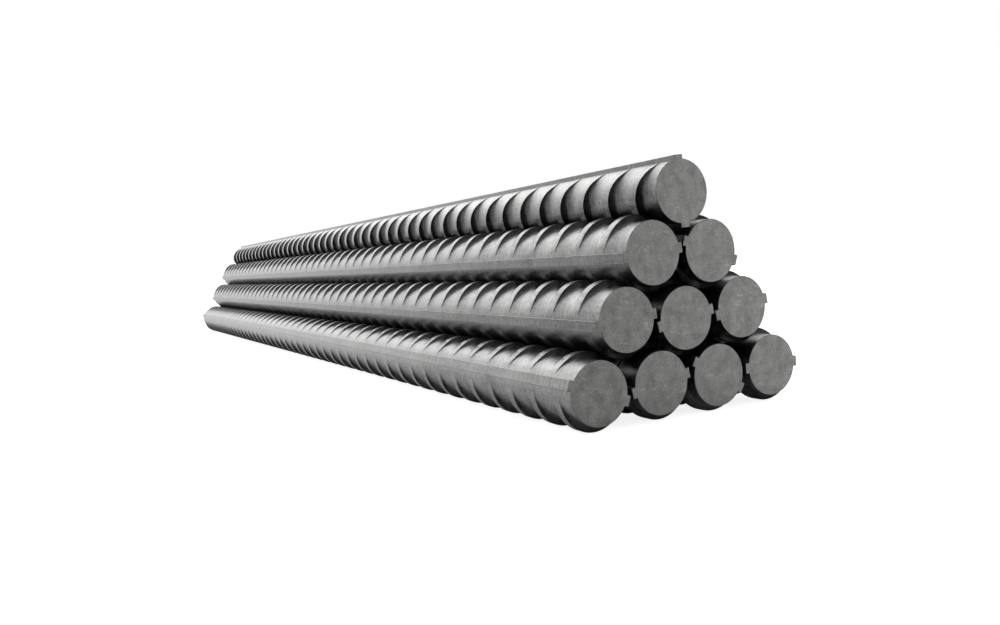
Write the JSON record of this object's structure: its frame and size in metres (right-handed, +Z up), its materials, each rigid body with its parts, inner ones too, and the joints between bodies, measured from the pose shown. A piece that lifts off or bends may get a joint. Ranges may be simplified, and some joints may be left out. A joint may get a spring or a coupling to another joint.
{
  "type": "rebar bundle",
  "caption": "Pyramid stack of straight ribbed steel reinforcing bars with cleanly sawn ends, lying lengthwise on the floor.",
  "frame": {"origin": "on the floor, under the middle of the stack", "axes": "X along the bars, with the sawn ends that the picture shows facing +X; Y across the stack; Z up"},
  "size_m": [1.2, 0.159, 0.1431],
  "materials": {
    "bar_steel": "satin rolled steel, with sawn end faces in a duller, finely mottled grey"
  },
  "bodies": {
    "root": {"bottom_row_bar_1": "bar_steel", "bottom_row_bar_2": "bar_steel", "bottom_row_bar_3": "bar_steel", "bottom_row_bar_4": "bar_steel", "second_row_bar_1": "bar_steel", "second_row_bar_2": "bar_steel", "second_row_bar_3": "bar_steel", "third_row_bar_1": "bar_steel", "third_row_bar_2": "bar_steel", "top_bar": "bar_steel"}
  },
  "joints": []
}
